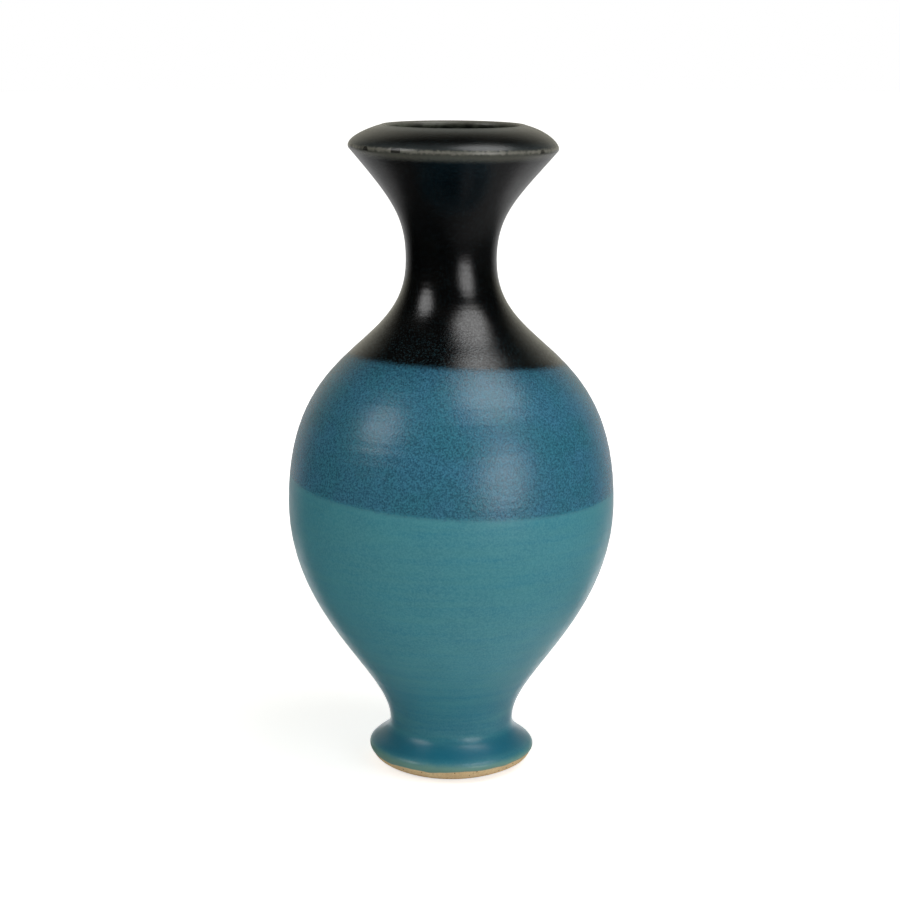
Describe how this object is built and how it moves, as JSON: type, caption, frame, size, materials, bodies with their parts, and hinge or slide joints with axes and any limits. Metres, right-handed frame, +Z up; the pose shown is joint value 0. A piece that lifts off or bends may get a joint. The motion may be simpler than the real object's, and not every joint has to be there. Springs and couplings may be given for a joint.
{
  "type": "bud vase",
  "caption": "Wheel-thrown stoneware bud vase with a turned foot, round belly, narrow neck and flared cup with a folded rim, dipped in bands of black, blue and turquoise glaze.",
  "frame": {"origin": "centre of the foot, on the table", "axes": "+Z up along the vase's axis; -Y is the front, where the lines between the glazes dip to the right"},
  "size_m": [0.08, 0.08, 0.1588],
  "materials": {
    "bare_stoneware": "unglazed buff stoneware, matt and slightly sandy",
    "turquoise_glaze": "satin turquoise glaze, pooled darker on the foot and lighter where it breaks over the foot's edge",
    "blue_glaze": "satin denim-blue glaze with a fine dark mottle",
    "black_glaze": "satin black glaze, breaking to grey on the ridge and the lip",
    "liner_glaze": "mottled grey-green satin glaze"
  },
  "bodies": {
    "root": {"stoneware_body": "bare_stoneware", "turquoise_glaze": "turquoise_glaze", "blue_glaze": "blue_glaze", "black_glaze": "black_glaze", "liner_glaze": "liner_glaze"}
  },
  "joints": []
}
